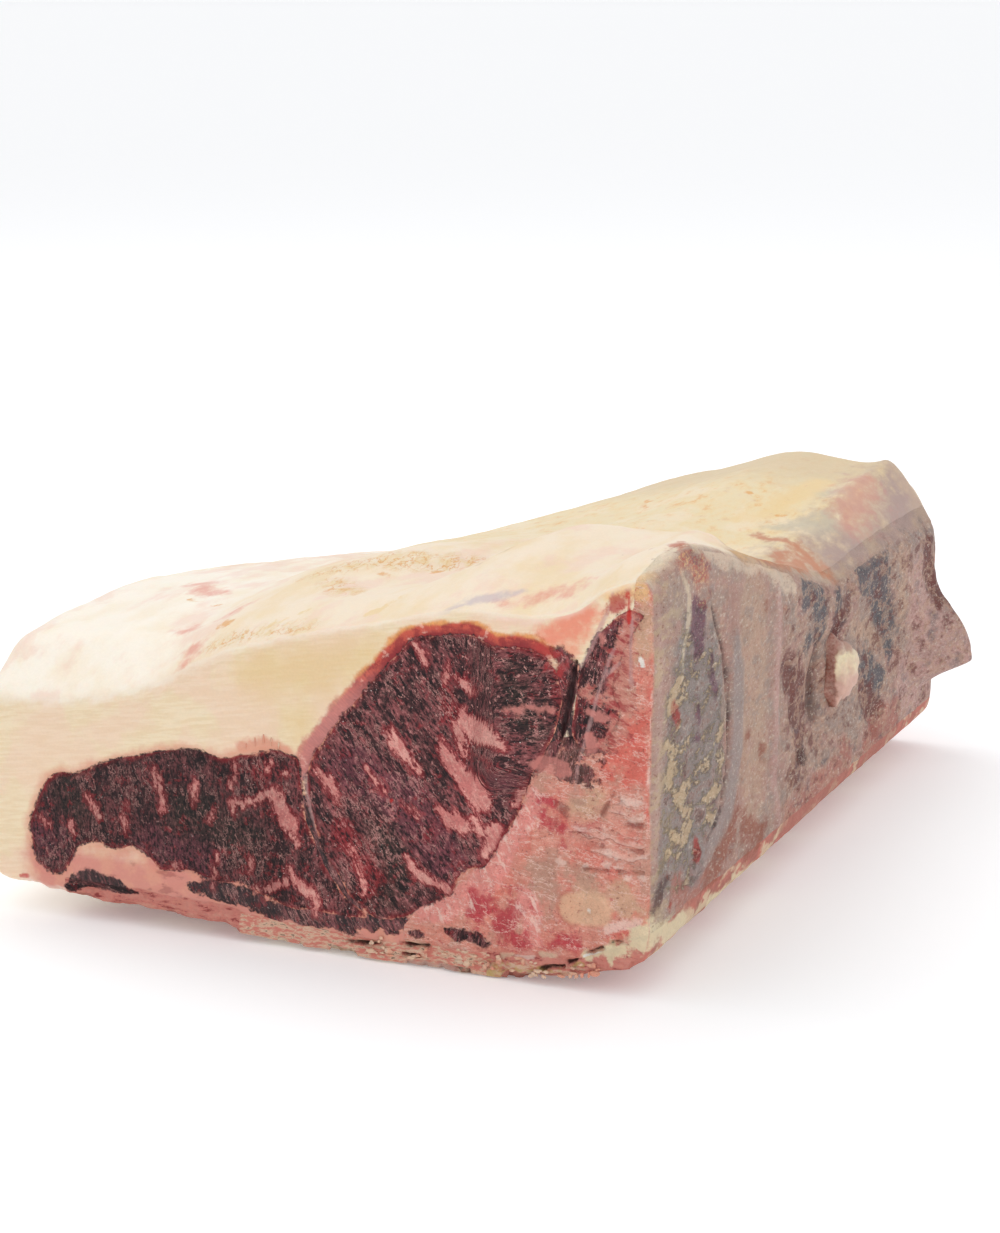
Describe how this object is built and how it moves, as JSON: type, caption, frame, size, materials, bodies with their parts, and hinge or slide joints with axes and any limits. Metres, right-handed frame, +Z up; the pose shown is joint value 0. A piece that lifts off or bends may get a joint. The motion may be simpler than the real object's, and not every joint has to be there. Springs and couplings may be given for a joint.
{
  "type": "raw beef sirloin on the bone",
  "caption": "Raw dry-aged sirloin joint on the bone: dark marbled lean under a thick cream fat cover, sawn backbone along one side, dry rib skin beneath.",
  "frame": {"origin": "on the surface the joint lies on, under the middle of its box", "axes": "+Z up through the fat cover; +X towards the split backbone; +Y along the joint, from the front cut face with the eye of the loin to the back one"},
  "size_m": [0.297, 0.375, 0.1509],
  "materials": {
    "fat": "waxy, slightly moist",
    "lean": "moist",
    "bone": "dry, sawn",
    "ligament": "dried",
    "crust": "dried"
  },
  "bodies": {
    "root": {"fat_cover": "fat", "eye_muscle": "lean", "flank_muscle": "lean", "back_muscle": "lean", "spine_ligament": "ligament", "underside": "crust", "vertebra_1": "bone", "vertebra_2": "bone", "vertebra_3": "bone", "vertebra_4": "bone", "vertebra_5": "bone", "vertebra_6": "bone", "vertebra_7": "bone", "finger_bone_1": "bone", "finger_bone_2": "bone", "finger_bone_3": "bone", "finger_bone_4": "bone", "finger_bone_5": "bone", "facet_knob": "bone"}
  },
  "joints": []
}
